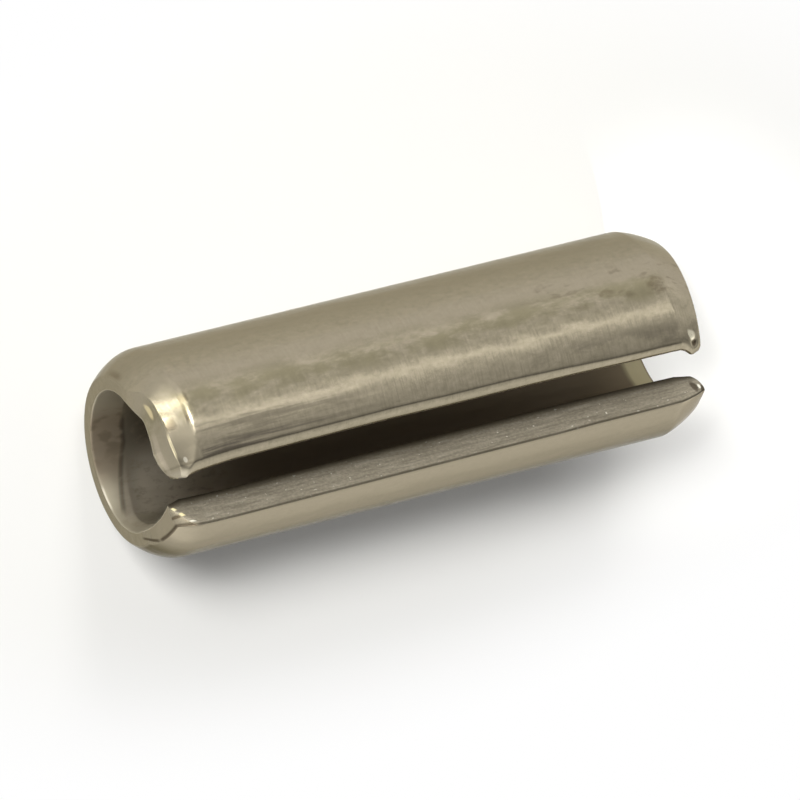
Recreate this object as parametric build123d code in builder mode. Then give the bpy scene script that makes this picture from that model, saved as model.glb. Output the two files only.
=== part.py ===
"""Slotted spring pin, 1/4 x 3/4 inch: stainless strip rolled into an open tube.

The pin lies on its side with its slot up, as it comes to rest. X runs along its axis, Z through
the middle of the slot, and the origin is on the axis at the middle of the length. Sizes in mm.
"""

from build123d import *
from math import hypot, radians, tan
import os

# --- the rolled tube -------------------------------------------------------------------------
length = 19.05  # over both ends, 3/4 inch
outside_diameter = 6.68  # free, before the pin is driven into its hole
wall = 1.22  # thickness of the strip

# --- the noses: how long each is, how far it drops, and how round it is ----------------------
# A crown of 0 is a straight cone, and a crown of 1 is a curve that runs smoothly into the body.
near_nose_length = 1.32
near_nose_drop = 0.64
near_nose_crown = 1.0
far_nose_length = 1.02
far_nose_drop = 0.46
far_nose_crown = 0.4

# --- the mouths: both ends of the bore are bevelled ------------------------------------------
mouth_length = 0.72
mouth_rise = 0.18

# --- the slot --------------------------------------------------------------------------------
slot_angle = 34.0  # from one cut face to the other: both point at the axis, as on rolled strip

# --- the lips at the ends of the slot --------------------------------------------------------
# Forming the noses squeezes the lips together, each by its own amount, and wears their corners.
# (lean into the slot, length of the lean), then the corner: (depth, width, crown)
left_near_lip = (0.22, 2.20)
left_near_corner = (0.60, 1.75, 0.00)
left_far_lip = (0.30, 3.60)
left_far_corner = (0.22, 1.70, 0.50)
right_near_lip = (0.10, 2.10)
right_near_corner = (0.50, 1.40, 0.30)
right_far_lip = (0.12, 6.00)
right_far_corner = (0.12, 0.30, 0.75)

# --- the edges of the strip: shearing rolls one edge over and leaves the others nearly sharp --
rolled_edge = 0.23
sharp_edge = 0.05

radius = outside_diameter / 2
bore_radius = radius - wall
near_end = -length / 2
far_end = length / 2
clearance = 1.0  # how far the slot's cutter stands clear of the pin
overshoot = 0.1  # share of a corner by which its cut runs on past the end face


def crowned(start, corner, finish, crown):
    """A bevel from start to finish that bulges towards the corner it takes away."""
    middle = (start + finish) / 2
    return Bezier(start, middle + (corner - middle) * crown, finish)


def nose(end, inward, tip_radius, nose_length, crown):
    """The outline of one nose, from its tip back to the body."""
    tip = Vector(end, tip_radius)
    root = Vector(end + inward * nose_length, radius)
    return crowned(tip, Vector((tip.X + root.X) / 2, radius), root, crown)


def lip_end(side, end, outward, edge_y, lip, corner):
    """One end of a lip, seen from above: the lean, the worn corner and the way out."""
    lean, run = lip
    depth, width, crown = corner
    root = Vector(end - outward * run, edge_y)
    turn = Vector(end - outward * depth, edge_y - side * lean)
    tip = turn + Vector(outward * depth, side * width) * (1 + overshoot)
    out = Vector(end + outward * clearance, tip.Y)
    Spline(root, turn, tangents=((outward, 0), (outward, 0)))
    crowned(turn, Vector(tip.X, turn.Y), tip, crown)
    Line(tip, out)
    return root, out


def slot_edge(side, edge_radius):
    """The long edge beside the slot, on one side of it and at one radius."""

    def beside_slot(edge):
        middle = edge @ 0.5
        return edge.length > length / 2 and middle.Z > 0 and side * middle.Y > 0

    def miss(edge):
        middle = edge @ 0.5
        return abs(hypot(middle.Y, middle.Z) - edge_radius)

    return spring_pin.edges().filter_by(beside_slot).sort_by(miss)[0]


cutter_floor = 0.5 * bore_radius  # inside the bore, under the lips and their worn corners
cutter_roof = radius + clearance

with BuildPart() as spring_pin:
    # The strip's section at one angle, turned once round the axis.
    with BuildSketch(Plane.XZ):
        with BuildLine():
            near_tip = radius - near_nose_drop
            far_tip = radius - far_nose_drop
            mouth = bore_radius + mouth_rise
            nose(near_end, 1, near_tip, near_nose_length, near_nose_crown)
            nose(far_end, -1, far_tip, far_nose_length, far_nose_crown)
            Line((near_end + near_nose_length, radius), (far_end - far_nose_length, radius))
            Polyline(
                (near_end, near_tip),
                (near_end, mouth),
                (near_end + mouth_length, bore_radius),
                (far_end - mouth_length, bore_radius),
                (far_end, mouth),
                (far_end, far_tip),
            )
        make_face()
    revolve(axis=Axis.X)

    # The slot, from inside the bore out through the wall.
    for height in (cutter_floor, cutter_roof):
        edge_y = height * tan(radians(slot_angle / 2))
        with BuildSketch(Plane.XY.offset(height)):
            with BuildLine():
                left_near = lip_end(1, near_end, -1, edge_y, left_near_lip, left_near_corner)
                left_far = lip_end(1, far_end, 1, edge_y, left_far_lip, left_far_corner)
                right_near = lip_end(-1, near_end, -1, -edge_y, right_near_lip, right_near_corner)
                right_far = lip_end(-1, far_end, 1, -edge_y, right_far_lip, right_far_corner)
                Line(left_near[0], left_far[0])
                Line(right_near[0], right_far[0])
                Line(left_near[1], right_near[1])
                Line(left_far[1], right_far[1])
            make_face()
    loft(ruled=True, mode=Mode.SUBTRACT)

    # The strip's four edges along the slot.
    fillet(slot_edge(1, radius), rolled_edge)
    fillet(slot_edge(-1, radius), sharp_edge)
    fillet(slot_edge(1, bore_radius), sharp_edge)
    fillet(slot_edge(-1, bore_radius), sharp_edge)

spring_pin.part.label = "spring_pin"

os.makedirs("parts", exist_ok=True)
export_step(spring_pin.part, "parts/spring_pin.step")
print("volume", round(spring_pin.part.volume, 3), "mm3, box", spring_pin.part.bounding_box())
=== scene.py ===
# %% [markdown]
# # A slotted spring pin
#
# A spring pin is a strip of spring steel, rolled up into a tube that doesn't quite close. Both
# ends are squeezed into noses, so that the pin finds its hole, and the open slot lets the tube
# shrink as it is driven in. This one is a quarter inch across and three quarters long. It lies
# on its side with the slot up, because the wall opposite the slot is its heavy side.

import math

import bmesh
import bpy
from mathutils import Matrix, Vector


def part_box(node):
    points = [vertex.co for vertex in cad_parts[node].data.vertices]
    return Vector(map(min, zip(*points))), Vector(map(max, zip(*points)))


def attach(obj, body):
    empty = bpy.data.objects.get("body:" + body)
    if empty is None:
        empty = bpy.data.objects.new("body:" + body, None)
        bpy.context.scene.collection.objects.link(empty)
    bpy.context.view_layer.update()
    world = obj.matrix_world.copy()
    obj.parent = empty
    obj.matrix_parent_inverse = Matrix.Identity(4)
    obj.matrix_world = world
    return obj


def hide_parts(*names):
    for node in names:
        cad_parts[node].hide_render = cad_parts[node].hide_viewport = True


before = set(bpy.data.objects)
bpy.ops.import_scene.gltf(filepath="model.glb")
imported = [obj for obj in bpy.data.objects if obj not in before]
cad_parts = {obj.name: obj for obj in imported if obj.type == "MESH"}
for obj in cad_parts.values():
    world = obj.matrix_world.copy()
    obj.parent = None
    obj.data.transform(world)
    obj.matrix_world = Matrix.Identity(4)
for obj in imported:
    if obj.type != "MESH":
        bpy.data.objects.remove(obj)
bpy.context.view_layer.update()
low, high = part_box("spring_pin")
print("frame holds", sorted(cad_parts), "from", tuple(low), "to", tuple(high))

# %% [markdown]
# ## Sizes
#
# The pin is made in millimetres and scaled to metres at the end, which keeps the numbers easy
# to read. Length and diameter come from the frame. The thickness of the strip and the angle of
# the slot are the pin's own.

# %% Sizes
MM = 0.001
length = (high.x - low.x) / MM
radius = -low.z / MM
wall = 1.22
slot_angle = math.radians(34.0)
near_end = -length / 2
strip_width = radius * (2 * math.pi - slot_angle)
print(f"strip of {length:.2f} x {strip_width:.2f} x {wall:.2f} mm, rolled to {radius:.2f} mm")

# %% [markdown]
# ## The flat blank
#
# The real pin starts as a strip cut from a coil. Shears leave one edge of the strip rolled over
# and the others nearly sharp. A tube could be drawn as a tube, but a flat blank has the same
# edges as the real strip, and each of them is one straight edge that a bevel can round. So a
# cube becomes the blank here, and it is rolled up later.

# %% Cut the blank and round its edges
ROLLED_EDGE, ROLLED_STEPS = 0.32, 10  # how wide the round is, and in how many steps
SHARP_EDGE, SHARP_STEPS = 0.045, 2
CORNER = math.radians(60)  # an edge that folds more than this is still a corner


def from_rolled_edge(edge):
    """How far an edge lies from the one that the shears roll over: the outer edge at +Y."""
    middle = (edge.verts[0].co + edge.verts[1].co) / 2
    return (middle - Vector((0, strip_width / 2, 0))).length


def round_edges(mesh, edges, width, steps):
    bmesh.ops.bevel(
        mesh, geom=edges, offset=width, offset_type="OFFSET", segments=steps,
        profile=0.5, affect="EDGES", material=-1,
    )


blank = bmesh.new()
bmesh.ops.create_cube(blank, size=1.0)
bmesh.ops.scale(blank, vec=(length, strip_width, wall), verts=blank.verts)
bmesh.ops.translate(blank, vec=(0, 0, -wall / 2), verts=blank.verts)
round_edges(blank, [min(blank.edges, key=from_rolled_edge)], ROLLED_EDGE, ROLLED_STEPS)
corners = [edge for edge in blank.edges if edge.calc_face_angle() > CORNER]
round_edges(blank, corners, SHARP_EDGE, SHARP_STEPS)
print("blank:", len(blank.verts), "points,", len(blank.faces), "faces")

# %% [markdown]
# ## Cuts for the shaping
#
# Only a mesh with enough points can bend. Evenly spaced cuts would waste most of them on the
# plain middle, so the cuts stand close together at the ends and beside the slot, where the
# wear is, and spread out between.

# %% Where to cut
FINE_STEP, GROWTH = 0.045, 1.10  # the smallest step, and how much wider each next one may be


def cut_places(reach, fine_run, coarse):
    """Where to cut from -reach to reach: fine steps at both ends that grow towards the middle."""
    steps, at, step = [], 0.0, FINE_STEP
    while at + step < reach:
        at += step
        steps.append(at)
        if at > fine_run:
            step = min(step * GROWTH, coarse)
    places = [reach - s for s in steps if reach - s > coarse / 2]
    return sorted([-s for s in places] + [0.0] + places)


along_strip = cut_places(length / 2, fine_run=1.5, coarse=0.30)
across_strip = cut_places(strip_width / 2, fine_run=1.4, coarse=0.20)
print(f"first steps in from an end: {along_strip[1] - along_strip[0]:.3f} mm apart")

# %% [markdown]
# ## Slicing the blank
#
# A plane that cuts the whole blank would be slow here, because every cut has more faces to go
# through than the last. So the cuts go from one side to the other, and each one hands on only
# what still lies ahead. No cut falls on the rounded edges, which have points enough.

# %% Slice the blank
WALL_PARTS = 12  # so many layers through the thickness
CUT_SNAP, ON_CUT = 1e-6, 1e-5  # how near a point counts as on the cutting plane, and on the cut
END_ROOM, EDGE_ROOM = 0.06, 0.02  # how far cuts stay from the ends and from the rolled edge


def slice_across(mesh, axis, places):
    """Cuts the mesh with a plane at each place, and hands on only what lies beyond the cut."""
    normal = Vector([axis == 0, axis == 1, axis == 2])
    rest = mesh.verts[:] + mesh.edges[:] + mesh.faces[:]
    for place in places:
        cut = bmesh.ops.bisect_plane(
            mesh, geom=rest, dist=CUT_SNAP, plane_co=normal * place, plane_no=normal,
        )
        rest = [
            part for part in cut["geom"]
            if min(v.co[axis] for v in (getattr(part, "verts", None) or [part])) > place - ON_CUT
        ]


first_across = -strip_width / 2 + 2 * SHARP_EDGE
last_across = strip_width / 2 - ROLLED_EDGE - EDGE_ROOM
cuts_across = [y for y in across_strip if first_across < y < last_across]
cuts_along = [x for x in along_strip if abs(x) < length / 2 - END_ROOM]
cuts_through = [-wall * part / WALL_PARTS for part in range(WALL_PARTS - 1, 0, -1)]
slice_across(blank, 1, cuts_across)
slice_across(blank, 2, cuts_through)
slice_across(blank, 0, cuts_along)
blank.normal_update()
print(len(cuts_along), "cuts along,", len(cuts_across), "across:", len(blank.faces), "faces")

# %% [markdown]
# ## Reading shapes from tables
#
# Wear has no formula. It can be measured, though: so far from the lip's edge, the end is worn
# back by so much. The tables below hold such measurements in millimetres, and these helpers read
# between their rows.

# %% Table helpers
def smooth(value):
    """0 below 0, 1 above 1, and a soft step between."""
    value = min(max(value, 0.0), 1.0)
    return value * value * (3 - 2 * value)


def mix(first, second, share):
    return first + (second - first) * share


def read(rows, place):
    """A table's values at one place, in straight lines between its rows."""
    if place <= rows[0][0]:
        return rows[0][1:]
    for before, after in zip(rows, rows[1:]):
        if place <= after[0]:
            share = (place - before[0]) / (after[0] - before[0])
            return [mix(*pair, share) for pair in zip(before[1:], after[1:])]
    return rows[-1][1:]


print("halfway between 2 and 4:", read(((0.0, 2.0), (1.0, 4.0)), 0.5)[0])

# %% [markdown]
# ## Noses and mouths
#
# A die squeezes the ends of the pin into noses, and the bore is bevelled at both ends. Each
# point of the flat blank knows how deep it lies in the strip, so both shapes are a matter of
# lowering the outer face and raising the inner one near the ends. The nose at -X is long and
# runs smoothly into the body, and the nose at +X is a short cone. The die pressed the -X nose
# hardest at the lip at +Y: there the nose is a hollow chamfer with a crease behind it.
# The bevel inside the -X mouth was cut off centre, so it is longer on one side than on the other.

# %% The ends' profiles
NEAR_NOSE, NEAR_DROP = 1.32, 0.64
FAR_NOSE, FAR_DROP, FAR_CROWN = 1.02, 0.46, 0.40
FAR_MOUTH, FAR_RISE = 0.72, 0.18
# across the strip, length of the bevel in the -X mouth, how far it rises
NEAR_MOUTH = (
    (-9.0, 0.45, 0.16), (-5.0, 0.50, 0.16), (-1.8, 1.00, 0.11), (1.0, 1.12, 0.09),
    (5.0, 0.72, 0.16),
)
CHAMFER_DROP, CHAMFER_HOLLOW, CREASE_SOFTNESS = 0.27, 0.2, 0.10
CHAMFER_FULL, CHAMFER_GONE = 2.7, 3.8  # distance from the lip's edge


def nose_drop(from_near, from_far, ridge, crease, pressed):
    """How far the outer face lies inside the body's radius."""
    near = NEAR_DROP * max(0.0, 1 - from_near / NEAR_NOSE) ** 2
    if pressed > 0:
        short = (crease - from_near) / (crease - ridge)
        short *= 1 + CHAMFER_HOLLOW * (1 - short)
        chamfer = CHAMFER_DROP * (short + math.hypot(short, CREASE_SOFTNESS)) / 2
        near = mix(near, chamfer, pressed)
    way = min(max(from_far, 0.0) / FAR_NOSE, 1.0)
    return near + FAR_DROP * (1 - way) * (1 - way + (1 - FAR_CROWN) * way)


def mouth_rise(across, from_rim, from_far):
    """How far the bore's face lies outside the bore's radius."""
    near_length, near_rise = read(NEAR_MOUTH, across)
    near = near_rise * min(max(0.0, 1 - from_rim / near_length), 1.0)
    return near + FAR_RISE * max(0.0, 1 - from_far / FAR_MOUTH)


print(f"tips: {NEAR_DROP:.2f} mm in at -X, {nose_drop(length, 0.0, 0.0, 0.0, 0.0):.2f} mm in at +X")

# %% [markdown]
# ## The slot's two lips
#
# Squeezing the noses also pushes the ends of the two lips towards each other, each by its own
# amount. The lip at +Y slopes down to its rolled edge and ends in a small burr at +X, with a dent
# behind it. The lip at -Y swells there into a short round tongue.

# %% How the lips lie
# How far each lip leans into the slot, outside and in the bore, by the distance from -X
LEFT_LEAN = (
    (0.0, 0.30, 0.60), (0.63, 0.25, 0.56), (1.17, 0.15, 0.27), (1.8, 0.10, 0.14),
    (2.5, 0.065, 0.07), (6.0, 0.025, 0.025), (8.0, 0.01, 0.01), (10.0, 0.04, 0.04),
    (14.0, 0.04, 0.04), (16.5, 0.09, 0.09), (17.8, 0.10, 0.10), (18.1, 0.115, 0.115),
    (18.25, 0.19, 0.14), (18.36, 0.30, 0.18), (18.47, 0.43, 0.22), (18.56, 0.46, 0.22),
    (18.66, 0.44, 0.20), (18.80, 0.41, 0.20), (19.05, 0.37, 0.20),
)
RIGHT_LEAN = (
    (0.0, 0.04, 0.10), (0.8, 0.03, 0.08), (1.6, -0.01, 0.02), (2.5, -0.02, -0.02),
    (8.0, 0.03, 0.03), (13.7, 0.06, 0.06), (15.0, 0.095, 0.07), (17.4, 0.095, 0.02),
    (18.0, 0.11, 0.0), (18.5, 0.02, -0.02), (19.05, -0.16, -0.02),
)
LEAN_FADE = 4.0
TONGUE_BULGE = 0.08
# The slope beside the rolled edge: how far from the edge it starts, by the distance from -X
EDGE_START = ((0.0, 0.40), (12.0, 0.40), (15.5, 0.30), (19.05, 0.28))
EDGE_SLOPE, EDGE_END = 0.42, 0.15
SLOPE_STARTS, SLOPE_GROWS = 0.3, 0.9  # from -X: where the slope starts, and over what length
DENT_AT, DENT_DEPTH, DENT_WIDTH = (18.70, 0.50), 0.06, 0.10  # from -X and from the edge


def leans(from_near, from_far, depth, to_left, to_right):
    """How far a point moves into the slot with each lip."""
    left = mix(*read(LEFT_LEAN, from_near), depth) * smooth(1 - to_left / LEAN_FADE)
    right = mix(*read(RIGHT_LEAN, from_near), depth) * smooth(1 - to_right / LEAN_FADE)
    right += TONGUE_BULGE * 4 * depth * (1 - depth) * smooth(1 - from_far) * smooth(1 - to_right)
    return left, right


def edge_drop(from_near, to_left):
    """How far the outer face slopes down to the rolled edge."""
    sloped = read(EDGE_START, from_near)[0] - max(to_left, EDGE_END)
    return EDGE_SLOPE * max(0.0, sloped) * smooth((from_near - SLOPE_STARTS) / SLOPE_GROWS)


def dent_drop(along, to_left):
    """How far the dent behind the burr goes in."""
    dent = math.hypot(along - DENT_AT[0], to_left - DENT_AT[1]) / DENT_WIDTH
    return DENT_DEPTH * math.exp(-dent * dent)


print(f"slope beside the edge: {edge_drop(length / 2, EDGE_END):.2f} mm deep in the middle")

# %% [markdown]
# ## Worn ends
#
# The tumbling that cleans the pins wears the corners of the lips away. Moving each point along
# the pin by its own amount does the same to the blank. The move fades out over a short length, so
# that the mesh behind the worn end stays even.

# %% The ends' wear
# How far each end is worn back, outside and in the bore, by the distance from the lip's edge
LEFT_NEAR = (
    (0.0, 0.67, 0.63), (0.25, 0.65, 0.47), (0.5, 0.63, 0.35), (0.8, 0.57, 0.23),
    (1.2, 0.50, 0.15), (2.0, 0.43, 0.18), (2.6, 0.39, 0.20), (2.9, 0.32, 0.10),
    (3.3, 0.12, 0.02), (3.7, 0.0, 0.0),
)
LEFT_NEAR_CREASE = ((0.0, 0.77), (0.3, 0.90), (0.5, 1.04), (0.9, 1.20), (1.4, 1.30))
RIGHT_NEAR = (
    (0.0, 0.50, 0.52), (0.12, 0.48, 0.50), (0.87, 0.28, 0.36), (1.05, 0.23, 0.32),
    (1.36, 0.17, 0.25), (1.76, 0.09, 0.17), (1.84, 0.0, 0.15), (2.16, 0.0, 0.0),
)
LEFT_FAR = (
    (0.0, 0.22, 0.20), (0.6, 0.17, 0.17), (1.5, 0.12, 0.12), (2.8, 0.04, 0.04), (3.6, 0.0, 0.0),
)
RIGHT_FAR = ((0.0, -0.05, 0.20), (0.25, -0.04, 0.05), (0.7, 0.0, 0.0))
TONGUE_ROUND, TONGUE_WIDTH = 0.07, 0.4  # how far the end of the tongue stands out, and how wide
# The lip at -Y loses its outer corner at -X: by depth in the strip, from 0 outside to 1
RIGHT_CORNER = ((0.0, 0.80), (0.08, 0.67), (0.19, 0.50), (0.36, 0.33), (0.63, 0.16), (0.85, 0.0))
CORNER_WIDTH = 0.15
WEAR_REACH = 1.5  # the wear is taken up by the mesh over this length


def worn_ends(along, depth, to_left, to_right):
    """How far a point lies from both ends, once they are worn back."""
    near_back = mix(*read(LEFT_NEAR, to_left), depth) + mix(*read(RIGHT_NEAR, to_right), depth)
    near_back += read(RIGHT_CORNER, depth)[0] * max(0.0, 1 - to_right / CORNER_WIDTH)
    from_near = along + near_back * max(0.0, 1 - along / WEAR_REACH)

    far_back = mix(*read(LEFT_FAR, to_left), depth) + mix(*read(RIGHT_FAR, to_right), depth)
    round_end = math.sqrt(max(0.0, 4 * depth * (1 - depth)))
    far_back -= TONGUE_ROUND * round_end * smooth(1 - to_right / TONGUE_WIDTH)
    from_far = length - from_near
    from_far += far_back * max(0.0, 1 - from_far / WEAR_REACH)
    return length - from_far, from_far


left_worn = worn_ends(0.0, 0.0, 0.0, strip_width)[0]
right_worn = worn_ends(0.0, 0.0, strip_width, 0.0)[0]
print(f"the -X end is worn back {left_worn:.2f} mm at the lip at +Y, {right_worn:.2f} mm at -Y")

# %% [markdown]
# ## One point of the blank
#
# Everything that forms and wears the pin comes together here. For a point of the flat blank, this
# works out how far it lies from each edge and end, and then where it goes: along the pin with the
# wear, across with the lips, and down or up with the noses, slope, dent and bevels.

# %% Form and wear
def worn_point(flat):
    """Where a point of the blank ends up: from the -X end, across the strip, and its height."""
    along, depth = flat.x - near_end, -flat.z / wall
    to_left, to_right = strip_width / 2 - flat.y, strip_width / 2 + flat.y
    from_near, from_far = worn_ends(along, depth, to_left, to_right)
    left, right = leans(from_near, from_far, depth, to_left, to_right)

    left_ridge, left_rim = read(LEFT_NEAR, to_left)
    crease = read(LEFT_NEAR_CREASE, to_left)[0]
    pressed = smooth((CHAMFER_GONE - to_left) / (CHAMFER_GONE - CHAMFER_FULL))
    drop = nose_drop(from_near, from_far, left_ridge, crease, pressed)
    drop += edge_drop(from_near, to_left)
    drop += dent_drop(along, to_left)
    near_rim = left_rim + read(RIGHT_NEAR, to_right)[1]
    rise = mouth_rise(flat.y, from_near - near_rim, from_far)
    return from_near, flat.y + left - right, flat.z + rise * depth - drop * (1 - depth)


lip_corner = worn_point(Vector((near_end, strip_width / 2, 0)))
print(f"corner of the lip at +Y: worn back {lip_corner[0]:.2f} mm, {-lip_corner[2]:.2f} mm down")

# %% [markdown]
# ## Rolling up
#
# Now the strip is rolled round the X axis. What was the width of the strip becomes the way round
# the tube, and the height above the strip becomes the distance from the axis. Rolling turns the
# mesh inside out, so its normals are worked out again. Each point keeps its place on the flat
# strip in an attribute, because the steel's grain and stains follow the strip.

# %% Shape the strip and roll it up
SHARP_FOLD = math.radians(35)  # a fold sharper than this shows as an edge


def roll(from_near, across, height):
    angle, distance = math.pi - across / radius, radius + height
    return near_end + from_near, distance * math.sin(angle), distance * math.cos(angle)


strip = blank.verts.layers.float_vector.new("strip")
for vert in blank.verts:
    vert[strip] = vert.co.copy()
    vert.co = roll(*worn_point(vert.co))
bmesh.ops.recalc_face_normals(blank, faces=blank.faces)
bmesh.ops.scale(blank, vec=(MM, MM, MM), verts=blank.verts)

mesh = bpy.data.meshes.new("spring_pin_skin")
blank.to_mesh(mesh)
blank.free()
pin = bpy.data.objects.new("formed_pin", mesh)
bpy.context.scene.collection.objects.link(pin)
mesh.shade_smooth()
mesh.set_sharp_from_angle(angle=SHARP_FOLD)
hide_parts("spring_pin")
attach(pin, "root")
print("pin:", len(mesh.polygons), "faces")

# %% [markdown]
# ## Tools for the finish
#
# A finish like this takes hundreds of shader nodes, and each of them takes a few lines to place
# and wire by hand. These helpers place a node and wire it in one call. All but the first and the
# last add their nodes to the tree that the sockets handed to them belong to.

# %% Node helpers
def node(tree, kind, links=None, **settings):
    """One shader node: settings are its properties, links its sockets' values or sources."""
    new = tree.nodes.new(kind)
    for name, value in settings.items():
        setattr(new, name, value)
    for name, value in (links or {}).items():
        if isinstance(value, bpy.types.NodeSocket):
            tree.links.new(value, new.inputs[name])
        else:
            new.inputs[name].default_value = value
    return new


def calc(operation, *values, **settings):
    """One Math node, by its operation and values."""
    tree = next(value.id_data for value in values if isinstance(value, bpy.types.NodeSocket))
    links = dict(enumerate(values))
    return node(tree, "ShaderNodeMath", links, operation=operation, **settings).outputs[0]


def between(share, first, second):
    """A number between two numbers."""
    links = {0: share, 2: first, 3: second}
    return node(share.id_data, "ShaderNodeMix", links, data_type="FLOAT").outputs[0]


def line(value, start, end, first, last):
    """A straight line: the first number at the start value, and the last at the end value."""
    links = {"Value": value, "From Min": start, "From Max": end, "To Min": first, "To Max": last}
    return node(value.id_data, "ShaderNodeMapRange", links).outputs[0]


def seen_rays(tree):
    """1 for rays that see a surface as the eye does: straight, in a gloss or through glass."""
    path = node(tree, "ShaderNodeLightPath").outputs
    seen = calc("ADD", path["Is Camera Ray"], path["Is Glossy Ray"])
    return calc("ADD", seen, path["Is Transmission Ray"], use_clamp=True)


print("node helpers:", ", ".join(f.__name__ for f in (node, calc, between, line, seen_rays)))

# %% [markdown]
# ## Masks
#
# The finish of the pin is worked out from where a point lies on the flat strip: how far from each
# lip, from the -X end and below the outer face. These helpers turn such distances into soft
# masks, from 0 to 1. Each stain could be painted by hand on a picture instead, but a mask needs
# no picture, and its place and size can be read from the script, in millimetres.

# %% Masks
def fade(value, start, end):
    """0 at the start value, 1 at the end value, and a soft step between."""
    links = {"Value": value, "From Min": start, "From Max": end}
    step = node(value.id_data, "ShaderNodeMapRange", links, interpolation_type="SMOOTHSTEP")
    return step.outputs[0]


def both(*masks):
    """One mask where all the masks are."""
    result = masks[0]
    for mask in masks[1:]:
        result = calc("MULTIPLY", result, mask)
    return result


def either(*masks):
    """One mask where any of the masks is."""
    result = masks[0]
    for mask in masks[1:]:
        result = calc("MAXIMUM", result, mask)
    return result


def within(value, start, full, full_end, end):
    """A band: 0 at the start, 1 between full and full_end, and 0 again at the end."""
    return both(fade(value, start, full), fade(value, end, full_end))


def spot(first, second, centre, size):
    """A round spot with a soft rim, by two distances."""
    sides = [calc("SUBTRACT", value, middle) for value, middle in zip((first, second), centre)]
    squares = [calc("MULTIPLY", side, side) for side in sides]
    return fade(calc("SQRT", calc("ADD", *squares)), size, 0.5 * size)


print("mask helpers:", ", ".join(f.__name__ for f in (fade, both, either, within, spot)))

# %% [markdown]
# ## Paint and grain
#
# Colours go on in layers, as paint does, each through its mask. Noise gives the grain that breaks
# the layers up. It is made on the flat strip, so that it turns round the pin with the steel.

# %% Paint and grain
def paint(under, *layers):
    """Paints layers over a colour: each is a colour, a mask and how strongly it covers."""
    for colour, mask, strength in layers:
        links = {0: calc("MULTIPLY", mask, strength), 6: under, 7: colour}
        under = node(mask.id_data, "ShaderNodeMix", links, data_type="RGBA").outputs[2]
    return under


def grain(place, per_mm, detail=3.0, roughness=0.55, offset=0.0):
    """Noise on the flat strip, with so many grains per mm along, across and through it."""
    def vector(operation, first, second):
        links = {0: first, 1: second}
        new = node(place.id_data, "ShaderNodeVectorMath", links, operation=operation)
        return new.outputs[0]
    moved = vector("ADD", vector("MULTIPLY", place, per_mm), (offset, offset, offset))
    links = {"Vector": moved, "Scale": 1.0, "Detail": detail, "Roughness": roughness}
    return node(place.id_data, "ShaderNodeTexNoise", links).outputs[0]


print("paint helpers:", paint.__name__, "and", grain.__name__)

# %% [markdown]
# ## Where things are on the strip
#
# Every finish below starts from the same few distances, in millimetres. The two cut faces are the
# lips' edges, and the bore is the strip's inner face.

# %% Distances on the strip
steel = bpy.data.materials.new("tumbled stainless")
steel.use_nodes = True
tree = steel.node_tree
place = node(tree, "ShaderNodeAttribute", attribute_name="strip").outputs["Vector"]
along, across, height = node(tree, "ShaderNodeSeparateXYZ", {0: place}).outputs
to_left = calc("SUBTRACT", strip_width / 2, across)
to_right = calc("ADD", strip_width / 2, across)
from_near = calc("SUBTRACT", along, near_end)
from_far = calc("SUBTRACT", length, from_near)
on_cut = either(fade(to_right, 0.05, 0.02), fade(to_left, 0.05, 0.02))
in_bore = fade(height, -wall + 0.10, -wall + 0.02)
on_end = fade(from_near, 0.05, 0.02)
print("distances:", len(tree.nodes), "nodes so far")

# %% [markdown]
# ## Satin steel
#
# Tumbling in a drum of grit gives stainless steel a satin skin that is slightly warm in tone. Close
# to, it isn't even: a fine mottle covers it, and short scratches run round the pin, where the
# forming rollers rubbed. Noise that is stretched one way looks like scratches, and noise that
# isn't looks like mottle, so two of them paint paler and duskier steel over the plain colour.

# %% Colour of the satin steel
STEEL = (0.328, 0.288, 0.206, 1)
PALE, DUSKY = (0.385, 0.334, 0.248, 1), (0.245, 0.215, 0.150, 1)
scratches = grain(place, (16.0, 1.3, 1.0))
mottle = grain(place, (5.0, 7.0, 3.0), 4.0, 0.6, 5.3)
outside = paint(
    STEEL,
    (PALE, fade(mottle, 0.50, 0.68), 0.55),
    (DUSKY, fade(mottle, 0.50, 0.30), 0.50),
    (DUSKY, fade(scratches, 0.50, 0.30), 0.30),
    (PALE, fade(scratches, 0.52, 0.70), 0.26),
)
print("satin steel:", len(tree.nodes), "nodes so far")

# %% [markdown]
# ## Rubbed metal beside the slot
#
# Near the -X end, the die rubbed the metal beside the slot in streaks along the pin, pale and
# dark, and dragged a dark run close to the edge. Farther on, only the scratches look darker there.
# Each mark is one noise, held to its own band of distances from the lip's edge.

# %% Colour of the rubbed metal
RUBBED, DRAGGED = (0.14, 0.12, 0.088, 1), (0.105, 0.088, 0.072, 1)
rubs = grain(place, (0.30, 5.0, 1.0), 3.0, 0.6, 4.4)
beside_slot = within(to_left, 0.35, 0.55, 1.1, 1.9)
farther_on = fade(from_near, 4.0, 9.0)
rubbed = both(within(to_left, 0.38, 0.52, 1.2, 1.8), within(from_near, 1.12, 1.3, 4.5, 9.0))
dark_run = both(within(to_left, 0.40, 0.46, 0.60, 0.90), within(from_near, 1.12, 1.3, 3.6, 6.0))
outside = paint(
    outside,
    (DUSKY, both(fade(scratches, 0.52, 0.36), beside_slot, farther_on), 0.22),
    (RUBBED, both(fade(rubs, 0.54, 0.38), rubbed), 0.5),
    (PALE, both(fade(rubs, 0.52, 0.66), rubbed), 0.5),
    (DRAGGED, both(fade(rubs, 0.62, 0.46), dark_run), 0.65),
)
print("rubbed metal:", len(tree.nodes), "nodes so far")

# %% [markdown]
# ## Bands along the pin
#
# The rollers didn't press the strip evenly, so its tone changes in broad bands along the pin. One
# band beside the slot is paler, the side below it is duskier, and the lip at -Y is pale, most of
# all at its +X end.

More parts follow.
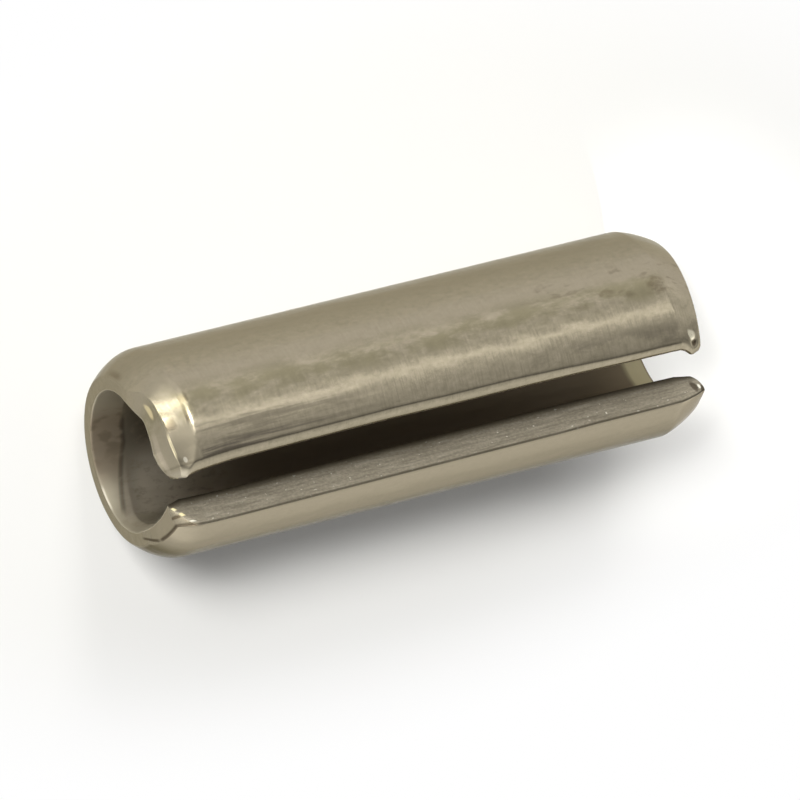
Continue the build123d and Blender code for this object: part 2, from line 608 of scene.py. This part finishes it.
# %% Colour of the bands
pale_corner = both(fade(to_right, 1.8, 1.0), fade(from_far, 1.3, 0.7))
outside = paint(
    outside,
    (DUSKY, fade(to_left, 3.3, 4.7), 0.66),
    (PALE, within(to_left, 1.7, 2.4, 3.0, 3.8), 0.65),
    (PALE, fade(to_right, 1.6, 1.0), 0.35),
    (PALE, pale_corner, 0.8),
)
print("bands:", len(tree.nodes), "nodes so far")

# %% [markdown]
# ## The pressed chamfer
#
# The die left clean, smooth metal on the pressed chamfer. Painted shade lies in the crease behind
# it, most of it where the crease turns down, and just behind the ridge at the end.

# %% Colour of the pressed chamfer
BROWN = (0.11, 0.08, 0.045, 1)
pressed = both(fade(to_left, 3.7, 3.2), fade(from_near, 1.10, 0.95))
# Painted shade, in brown: the crease, and the strip just behind the ridge
crease_line = both(
    within(from_near, 0.97, 1.03, 1.09, 1.15), within(to_left, 1.5, 1.75, 2.3, 2.6),
)
crease_end = both(
    within(from_near, 0.96, 1.03, 1.34, 1.45), within(to_left, 2.15, 2.28, 2.38, 2.6),
)
behind_ridge = both(
    within(from_near, 0.02, 0.07, 0.40, 0.62), within(to_left, 1.50, 1.65, 1.85, 2.0),
)
outside = paint(
    outside,
    (STEEL, pressed, 0.8),
    (BROWN, either(crease_line, crease_end), 0.9),
    (BROWN, behind_ridge, 0.6),
)
print("pressed chamfer:", len(tree.nodes), "nodes so far")

# %% [markdown]
# ## Stains
#
# Oil has dried to olive stains in a streak that follows the slot, with brown specks and one darker
# spot towards +X. Grease has collected beside the rolled edge there. Painted shade darkens the side
# below the lip at -Y in a broad band, and a small smudge lies on the nose at -X. Clouds of noise
# break up the stains near the slot, so that none of them looks drawn.

# %% Colour of the stains
OLIVE, GREASE, SHADE_BELOW_LIP = (0.225, 0.20, 0.122, 1), (0.15, 0.13, 0.095, 1), (0.105, 0.087, 0.045, 1)
clouds = grain(place, (0.7, 1.6, 1.0), 6.0, 0.65, 3.1)
flakes = grain(place, (1.6, 3.0, 1.0), 2.0, 0.6, 9.1)
streak = both(
    within(to_left, 1.55, 2.1, 2.35, 3.1), fade(clouds, 0.36, 0.60), fade(from_far, 0.6, 1.6),
)
specks = both(within(to_left, 1.9, 2.2, 2.9, 3.6), fade(from_near, 12.0, 15.0))
dark_spot = spot(from_near, to_left, (17.8, 2.28), 0.42)
grease = both(within(to_left, 0.36, 0.45, 0.8, 1.25), fade(clouds, 0.44, 0.62))
# Painted shade: the side below the lip at -Y is darkened where it mirrors the floor's shadow
flank_shade = both(within(to_right, 1.2, 2.1, 2.7, 4.6), fade(from_near, 0.02, 0.10))
smudge = both(within(from_near, 0.0, 0.08, 0.10, 0.26), within(to_left, 4.2, 4.8, 5.0, 5.9))
outside = paint(
    outside,
    (OLIVE, streak, 0.8),
    (BROWN, both(specks, fade(flakes, 0.55, 0.70)), 0.35),
    (BROWN, both(dark_spot, fade(mottle, 0.28, 0.58)), 0.5),
    (GREASE, both(grease, fade(from_near, 11.0, 14.5)), 0.5),
    (SHADE_BELOW_LIP, flank_shade, 1.0),
    (BROWN, smudge, 0.45),
)
print("stains:", len(tree.nodes), "nodes so far")

# %% [markdown]
# ## The rolled edge
#
# The shears rolled one edge of the strip over. Painted shade lies in a thin seam where the slope
# down to it starts, and darkens the edge itself along most of the pin.

# %% Colour of the rolled edge
# Dark colour, used for painted shade in seams, grooves, dents and the pit, and for the dark line in
# the bore
GRIME_AND_SHADE = (0.05, 0.035, 0.02, 1)
slope_start = line(from_near, 12.0, 15.5, 0.40, 0.30)
behind_edge = calc("SUBTRACT", to_left, slope_start)
# Painted shade: the dark seam, and the duskier edge below it
seam = both(within(behind_edge, -0.02, 0.01, 0.03, 0.12), fade(from_far, 0.8, 1.3))
edge_shade = both(
    fade(to_left, 0.24, 0.08), fade(from_near, 13.5, 11.0), fade(from_near, 1.5, 2.5),
)
outside = paint(outside, (GRIME_AND_SHADE, seam, 0.30), (DUSKY, edge_shade, 0.7))
print("rolled edge:", len(tree.nodes), "nodes so far")

# %% [markdown]
# ## The end face
#
# The end face at -X is a little duskier than the outside. Under the pressed chamfer it has a paler
# streak, a warm painted highlight, and a painted highlight along its ridge.

# %% Colour of the end face
RIDGE_HIGHLIGHT, WARM_HIGHLIGHT = (0.85, 0.75, 0.50, 1), (0.75, 0.64, 0.38, 1)
facet_streak = both(
    on_end, within(height, -1.05, -0.9, -0.75, -0.6), within(to_left, 0.2, 0.6, 1.5, 2.2),
)
# Painted highlights: along the ridge, and a warm spot under the chamfer
ridge = both(fade(from_near, 0.08, 0.05), fade(height, -0.08, -0.05))
half_left = calc("MULTIPLY", to_left, 0.5)
warm_glint = both(on_end, spot(half_left, height, (1.27, -0.45), 0.19))
outside = paint(
    outside,
    (DUSKY, on_end, 0.25),
    (PALE, facet_streak, 0.9),
    (RIDGE_HIGHLIGHT, both(ridge, within(to_left, 0.6, 0.9, 1.3, 1.6)), 1.0),
    (WARM_HIGHLIGHT, warm_glint, 0.7),
)
print("end face:", len(tree.nodes), "nodes so far")

# %% [markdown]
# ## The tips of the lips
#
# The worn tip of the lip at +Y is painted paler, as polish with a painted highlight, and its burr
# at the other end has a painted highlight, with painted shade in the dent behind it. The worn
# corner of the lip at -Y has painted shade in a groove and a slanted nick, and a brown pore. Marks
# as small as these are soft spots and short bands at their own places.

# %% Colour of the tips
POLISH_AND_HIGHLIGHT, TIP_HIGHLIGHT, BURR_HIGHLIGHT = (0.62, 0.57, 0.46, 1), (0.95, 0.90, 0.75, 1), (1.0, 0.93, 0.72, 1)
# Painted highlights on the tip and the burr, and painted shade in the groove, nick and dent
tip = both(fade(to_left, 0.40, 0.15), fade(from_near, 0.60, 0.15))
tip_glint = spot(from_near, to_left, (0.34, 0.57), 0.12)
groove = both(fade(from_near, 0.10, 0.04), fade(height, -0.20, -0.06), fade(to_right, 1.30, 1.10))
slanted = calc("MULTIPLY_ADD", to_right, 0.60, height)
nick = both(
    on_end, within(to_right, 1.15, 1.40, 2.00, 2.35), within(slanted, 0.55, 0.66, 0.76, 0.87),
)
pore = both(on_end, spot(to_right, height, (0.12, -0.50), 0.12))
outside = paint(
    outside,
    (POLISH_AND_HIGHLIGHT, tip, 0.30),
    (TIP_HIGHLIGHT, tip_glint, 0.5),
    (GRIME_AND_SHADE, either(groove, nick), 0.8),
    (BROWN, pore, 0.8),
    (BURR_HIGHLIGHT, spot(from_near, to_left, (18.62, 0.74), 0.21), 0.85),
    (GRIME_AND_SHADE, spot(from_near, to_left, DENT_AT, 0.15), 0.85),
)
print("tips:", len(tree.nodes), "nodes so far")

# %% [markdown]
# ## Torn steel
#
# A shear cuts the first third of a strip cleanly and tears the rest. The torn part is rough and
# grey, with faint streaks along the cut and a few bright crumbs. The crumbs are the peaks of a
# noise, so only its highest values show.

# %% Colour of the torn steel
TORN, TORN_PALE, CRUMB = (0.238, 0.211, 0.155, 1), (0.36, 0.322, 0.248, 1), (0.85, 0.82, 0.70, 1)
STREAK_DARK, STREAK_PALE = (0.172, 0.150, 0.108, 1), (0.475, 0.436, 0.345, 1)
torn = grain(place, (9.0, 12.0, 12.0), 4.0, 0.65)
streaks = grain(place, (0.9, 9.0, 9.0), 4.0, 0.6, 2.7)
crumbs = fade(grain(place, (6.0, 9.0, 9.0), 1.0, 0.5, 6.6), 0.70, 0.76)
torn_steel = paint(
    TORN,
    (TORN_PALE, fade(torn, 0.30, 0.75), 1.0),
    (STREAK_DARK, fade(streaks, 0.52, 0.36), 0.5),
    (STREAK_PALE, fade(streaks, 0.54, 0.70), 0.4),
    (CRUMB, crumbs, 0.7),
)
print("torn steel:", len(tree.nodes), "nodes so far")

# %% [markdown]
# ## The cut faces
#
# The clean part of the cut, at the bore's edge, is painted dark, as a painted reflection of the
# dark bore. Painted shade darkens the outer edge, painted glints show in two thin bands at the -X
# end, and a pit at +X has painted shade inside and a painted highlight on its rim.

# %% Colour of the cut faces
BORE_EDGE_SHADE, OUTER_EDGE_SHADE = (0.03, 0.022, 0.012, 1), (0.05, 0.04, 0.025, 1)
FLECK_GLINT, PIT_RIM_HIGHLIGHT = (0.95, 0.85, 0.50, 1), (1.0, 0.98, 0.85, 1)
# Painted glints in two thin bands on the cut at -X
fleck_glints = either(
    within(height, -0.98, -0.92, -0.82, -0.76), within(height, -0.63, -0.58, -0.48, -0.42),
)
third_height = calc("MULTIPLY", height, 1 / 3)
pit = spot(from_near, third_height, (18.74, -0.15), 0.14)
crescent = spot(from_near, third_height, (18.97, -0.05), 0.10)
# Painted reflection at the bore's edge; painted shade at the outer edge and in the pit
cut_colour = paint(
    BORE_EDGE_SHADE,
    (torn_steel, fade(height, -wall, -0.58 * wall), 1.0),
    (OUTER_EDGE_SHADE, fade(height, -0.09, -0.04), 0.8),
    (FLECK_GLINT, both(fade(from_near, 0.14, 0.06), fleck_glints), 0.8),
    (GRIME_AND_SHADE, either(pit, crescent), 0.8),
    (PIT_RIM_HIGHLIGHT, spot(from_near, third_height, (18.90, -0.115), 0.065), 0.8),
)
print("cut faces:", len(tree.nodes), "nodes so far")

# %% [markdown]
# ## The mouth's bevel
#
# The bevel in the -X mouth is clean metal, tanned in its middle and blotted with rust. It is longer
# on one side than on the other, so its end is a slanted line on the flat strip.

# %% Colour of the bevel
CLEAN, TANNED = (0.42, 0.38, 0.29, 1), (0.33, 0.275, 0.20, 1)
bevel_end = line(across, -4.8, -0.9, 0.22, 1.03)
beyond = calc("SUBTRACT", from_near, bevel_end)
blots = grain(place, (2.0, 2.4, 2.0), 1.5, 0.5, 7.2)
bevel = paint(
    CLEAN,
    (TANNED, within(across, -3.4, -1.6, 0.2, 2.0), 1.0),
    (BROWN, both(fade(blots, 0.42, 0.62), within(across, -2.4, -0.8, 0.7, 1.5)), 0.35),
)
print("bevel:", len(tree.nodes), "nodes so far")

# %% [markdown]
# ## The bore
#
# Nothing tumbles or rubs the bore, so it keeps the mill's dull skin, with spots of rust. Painted
# shade makes the wall dark at the top, and darker still far inside. A dark line follows the end of
# the bevel, and a painted highlight lies on the rim of the mouth in one place.

# %% Colour of the bore
SILVERY, SHADED, RUSTED = (0.62, 0.56, 0.45, 1), (0.14, 0.115, 0.08, 1), (0.30, 0.24, 0.165, 1)
DULL, INNER_SHADE, DEEPEST_SHADE = (0.25, 0.22, 0.165, 1), (0.26, 0.215, 0.155, 1), (0.15, 0.12, 0.08, 1)
FAR_BEVEL = (0.30, 0.265, 0.165, 1)
rust = grain(place, (3.5, 3.5, 3.5), 4.0, 0.6, 7.7)
# Painted shade: the wall darkens at the top, deeper inside, and most near the +X end
bore_wall = paint(
    SILVERY,
    (SHADED, fade(across, -3.2, -0.6), 1.0),
    (CLEAN, fade(across, -4.6, -5.6), 1.0),
    (RUSTED, fade(rust, 0.48, 0.75), 0.5),
    (DULL, both(fade(beyond, 0.9, 0.0), fade(across, -5.4, -4.6)), 0.75),
    (INNER_SHADE, fade(from_near, 1.8, 5.5), 1.0),
    (DEEPEST_SHADE, fade(from_near, 14.5, 17.5), 1.0),
)
line_behind_bevel = both(within(beyond, -0.13, -0.02, 0.02, 0.14), within(across, -4.8, -4.0, 0.2, 0.8))
# A painted highlight on the rim of the mouth
rim_highlight = both(fade(from_near, 0.09, 0.03), within(across, -4.2, -3.7, -3.0, -2.6))
far_bevel = both(fade(from_far, 0.92, 0.68), fade(from_far, 0.03, 0.09))
bore_colour = paint(
    bevel,
    (bore_wall, fade(beyond, -0.04, 0.04), 1.0),
    (GRIME_AND_SHADE, both(line_behind_bevel, fade(blots, 0.20, 0.50)), 0.55),
    (POLISH_AND_HIGHLIGHT, rim_highlight, 1.0),
    (FAR_BEVEL, far_bevel, 1.0),
)
print("bore:", len(tree.nodes), "nodes so far")

# %% [markdown]
# ## Putting the finishes together
#
# The outside is metal with a satin sheen that varies with the scratches, and its skin is very
# slightly wavy. The torn cut faces scatter light much more, so they are rough and only partly
# metallic. Relief as fine as this would take millions of faces, so it is a bump in the shader.

# %% Shader of the steel
SATIN, BORE_ROUGH, TORN_ROUGH = (0.19, 0.26), 0.55, 0.62
BORE_METAL, TORN_METAL = 0.95, 0.6
WAVES, FINE = 0.00003, 0.00002  # how high the relief stands, in metres
SCRATCH_RELIEF, TORN_RELIEF = 0.06, 0.45
GRAZING_TINT = (0.70, 0.675, 0.615, 1)  # how much the steel reflects at a grazing angle

colour = paint(outside, (bore_colour, in_bore, 1.0), (cut_colour, on_cut, 1.0))
rough = between(fade(scratches, 0.3, 0.7), *SATIN)
rough = between(on_cut, between(in_bore, rough, BORE_ROUGH), TORN_ROUGH)
metal = between(on_cut, between(in_bore, 1.0, BORE_METAL), TORN_METAL)

waviness = between(pressed, 1.0, 0.0)
swell = grain(place, (0.8, 1.4, 1.0), 1.0, 0.5, 8.4)
waves = node(tree, "ShaderNodeBump", {"Strength": waviness, "Distance": WAVES, "Height": swell})
relief = calc("SUBTRACT", between(on_cut, scratches, torn), between(on_cut, 0.0, pit))
strength = between(on_cut, calc("MULTIPLY", waviness, SCRATCH_RELIEF), TORN_RELIEF)
bump = node(tree, "ShaderNodeBump", {
    "Strength": strength, "Distance": FINE, "Height": relief, "Normal": waves.outputs[0],
})

shader = tree.nodes["Principled BSDF"]
shader.inputs["Specular Tint"].default_value = GRAZING_TINT
sources = {"Base Color": colour, "Metallic": metal, "Roughness": rough, "Normal": bump.outputs[0]}
for name, source in sources.items():
    tree.links.new(source, shader.inputs[name])
mesh.materials.append(steel)
print("steel:", len(tree.nodes), "nodes")

# %% [markdown]
# ## Floor
#
# The pin lies on a sheet of paper. The sheet is a flat grid at the height of the pin's lowest
# point, and it is wide, because its edge would show in the steel as a dark line.

# %% Floor
FLOOR_SIZE, FLOOR_CELLS = 1.5, 8
floor_mesh = bmesh.new()
bmesh.ops.create_grid(
    floor_mesh, x_segments=FLOOR_CELLS, y_segments=FLOOR_CELLS, size=FLOOR_SIZE,
)
bmesh.ops.translate(floor_mesh, vec=(0, 0, low.z), verts=floor_mesh.verts)
floor_data = bpy.data.meshes.new("floor")
floor_mesh.to_mesh(floor_data)
floor_mesh.free()
floor = bpy.data.objects.new("floor", floor_data)
bpy.context.scene.collection.objects.link(floor)
print("floor:", floor.dimensions.x, "m across, at", low.z)

# %% [markdown]
# ## Paper
#
# A gloss sees the whole sheet, out to the horizon, so the paper glows a little more the farther
# it is from the pin, as a lit sheet would. Near the pin it is plain matte paper that takes the
# shadow. The glow is for the eye only: it adds no light to the steel.

# %% White paper
NEAR_GLOW, FAR_GLOW = 0.10, 1.0
GLOW_STARTS, GLOW_FULL = 0.0085, 0.015  # metres from the pin's middle
GLOW_SHAPE = (0.6, 1.0, 0.0)  # the matte patch is an oval, longer along the pin
PAPER = (0.90, 0.893, 0.862, 1)

paper = bpy.data.materials.new("white paper")
paper.use_nodes = True
tree = paper.node_tree
tree.nodes.clear()
spread = node(tree, "ShaderNodeTexCoord").outputs["Object"]
oval = node(tree, "ShaderNodeVectorMath", {0: spread, 1: GLOW_SHAPE}, operation="MULTIPLY")
distance = node(tree, "ShaderNodeVectorMath", {0: oval.outputs[0]}, operation="LENGTH")
away = fade(distance.outputs["Value"], GLOW_STARTS, GLOW_FULL)
share = calc("MULTIPLY", seen_rays(tree), between(away, NEAR_GLOW, FAR_GLOW))
matte = node(tree, "ShaderNodeBsdfDiffuse", {"Color": PAPER})
glow = node(tree, "ShaderNodeEmission", {"Color": (1, 1, 1, 1), "Strength": 1.0})
mixed = node(tree, "ShaderNodeMixShader", {0: share, 1: matte.outputs[0], 2: glow.outputs[0]})
node(tree, "ShaderNodeOutputMaterial", {"Surface": mixed.outputs[0]})
floor_data.materials.append(paper)
print("paper:", len(tree.nodes), "nodes")

# %% [markdown]
# ## Studio
#
# Polished metal shows its room more than its own colour. A row of soft white panels hangs round
# the pin, some brighter than others, and the grey gap overhead is what darkens the steel beside
# the slot. Lamps could make such panels too, but a colour ramp round the pin's axis draws them
# all with one node.

# %% Panels round the pin
# angle round the pin from +Z towards +Y, in degrees, and how bright the studio is there
STUDIO = (
    (-90, 1.20), (-69, 1.25), (-40, 1.0), (-20, 0.70), (-4, 0.32), (8, 0.33), (16, 0.70),
    (26, 0.70), (38, 0.86), (48, 1.05), (58, 0.84), (72, 0.86), (80, 0.95), (90, 1.40),
)
BRIGHTEST = max(level for degrees, level in STUDIO)
world = bpy.data.worlds.new("studio")
bpy.context.scene.world = world
world.use_nodes = True
tree = world.node_tree
outward = node(tree, "ShaderNodeTexCoord").outputs["Generated"]
direction = node(tree, "ShaderNodeSeparateXYZ", {0: outward}).outputs
angle = calc("ARCTAN2", direction["Y"], direction["Z"])
half_turn = calc("MULTIPLY_ADD", angle, 1 / math.pi, 0.5, use_clamp=True)
panels = node(tree, "ShaderNodeValToRGB", {0: half_turn})
stops = panels.color_ramp.elements
for index, (degrees, level) in enumerate(STUDIO):
    at = degrees / 180 + 0.5
    stop = stops[index] if index < 2 else stops.new(at)
    stop.position = at
for stop, (degrees, level) in zip(sorted(stops, key=lambda e: e.position), STUDIO):
    stop.color = (level / BRIGHTEST,) * 3 + (1,)
print("studio:", len(STUDIO), "panels, the brightest at", BRIGHTEST)

# %% [markdown]
# ## The room
#
# The panels are brighter towards -X, where the nose faces them, and a little brighter again far
# out towards +X. They show in the steel only. What lights the floor is a plain, weak glow from
# all round, so that the key lamp's shadow stays clear.

# %% World
# from one X direction to another, and how bright the panels are at each
LEFT_TO_RIGHT = (-0.4, 0.4, 1.3 * BRIGHTEST, 0.99 * BRIGHTEST)
FAR_RIGHT = (0.45, 0.85, 1.0, 1.15)
ROOM_LIGHT = 0.10
level = calc("MULTIPLY", line(direction["X"], *LEFT_TO_RIGHT), line(direction["X"], *FAR_RIGHT))
gradient = node(tree, "ShaderNodeBackground", {"Color": panels.outputs[0], "Strength": level})
ambient = node(tree, "ShaderNodeBackground", {"Color": (1, 1, 1, 1), "Strength": ROOM_LIGHT})
mixed = node(tree, "ShaderNodeMixShader", {
    0: seen_rays(tree), 1: ambient.outputs[0], 2: gradient.outputs[0],
})
output = next(n for n in tree.nodes if n.type == "OUTPUT_WORLD")
tree.links.new(mixed.outputs[0], output.inputs["Surface"])
print("world:", len(tree.nodes), "nodes")

# %% [markdown]
# ## Lamps
#
# The key lamp lights the floor and throws the shadow. Three weaker lamps are there for the steel:
# one glares on the pressed chamfer, one draws the bright band along the body, and one catches
# the crease. A small spotlight clears the key's shadow from the floor behind the slot's +X
# end, so that the gap between the lips reads as white.

# %% Lamps
# name: (towards the lamp, distance, long side, short side, watts, whether the steel mirrors it)
LAMPS = {
    "key": ((-0.50, 0.58, 0.644), 0.45, 0.10, 0.10, 2.5, False),
    "glare": ((-0.177, 0.958, 0.222), 0.45, 0.34, 0.060, 0.44, True),
    "strip": ((0.395, 0.728, 0.563), 0.40, 0.30, 0.04, 0.050, True),
    "crease": ((-0.02, 0.862, 0.50), 0.45, 0.10, 0.09, 0.48, True),
}
SPOT_FROM, SPOT_AT, SPOT_DISTANCE = (0.27, -0.65, 0.70), (0.0129, -0.0030), 0.25
SPOT_RADIUS, SPOT_WATTS, SPOT_BLEND, SPOT_SOFTNESS = 0.0037, 4.0, 0.6, 0.004


def aim(lamp, name, target, towards, distance, mirrored):
    """Hangs a lamp in a direction from its target, turned to face it."""
    lamp_object = bpy.data.objects.new(name, lamp)
    lamp_object.visible_glossy = mirrored
    bpy.context.scene.collection.objects.link(lamp_object)
    offset = Vector(towards).normalized() * distance
    turned = offset.to_track_quat("Z", "Y").to_matrix().to_4x4()
    lamp_object.matrix_world = Matrix.Translation(Vector(target) + offset) @ turned


for name, (towards, distance, long_side, short_side, watts, mirrored) in LAMPS.items():
    lamp = bpy.data.lights.new(name, "AREA")
    lamp.shape, lamp.size, lamp.size_y, lamp.energy = "RECTANGLE", long_side, short_side, watts
    aim(lamp, name, (0, 0, 0), towards, distance, mirrored)

kicker = bpy.data.lights.new("kicker", "SPOT")
kicker.energy, kicker.spot_blend, kicker.shadow_soft_size = SPOT_WATTS, SPOT_BLEND, SPOT_SOFTNESS
kicker.spot_size = 2 * math.atan(SPOT_RADIUS / SPOT_DISTANCE)
aim(kicker, "kicker", (*SPOT_AT, low.z), SPOT_FROM, SPOT_DISTANCE, False)
print("lamps:", ", ".join(LAMPS), "and a kicker")

# %% [markdown]
# ## Camera
#
# A long lens flattens the pin, as a small object is usually seen. It looks at the -X end from
# above, with the slot in view along its whole length.

# %% Camera
FOCAL_LENGTH, SENSOR = 495, 36
NEAREST, FARTHEST = 0.01, 10
CAMERA_AT = (-0.136348, 0.16306, 0.271821)
CAMERA_TURN = (
    (0.891662, 0.22043, -0.395411), (-0.008009, 0.880991, 0.473065),
    (0.452631, -0.418647, 0.787312),
)
camera = bpy.data.cameras.new("camera")
camera.lens, camera.sensor_width = FOCAL_LENGTH, SENSOR
camera.clip_start, camera.clip_end = NEAREST, FARTHEST
camera_object = bpy.data.objects.new("camera", camera)
bpy.context.scene.collection.objects.link(camera_object)
bpy.context.scene.camera = camera_object
camera_object.matrix_world = Matrix.Translation(CAMERA_AT) @ Matrix(CAMERA_TURN).to_4x4()
bpy.context.scene.view_settings.view_transform = "Standard"
print(f"camera: {FOCAL_LENGTH} mm lens, {Vector(CAMERA_AT).length:.2f} m from the pin")
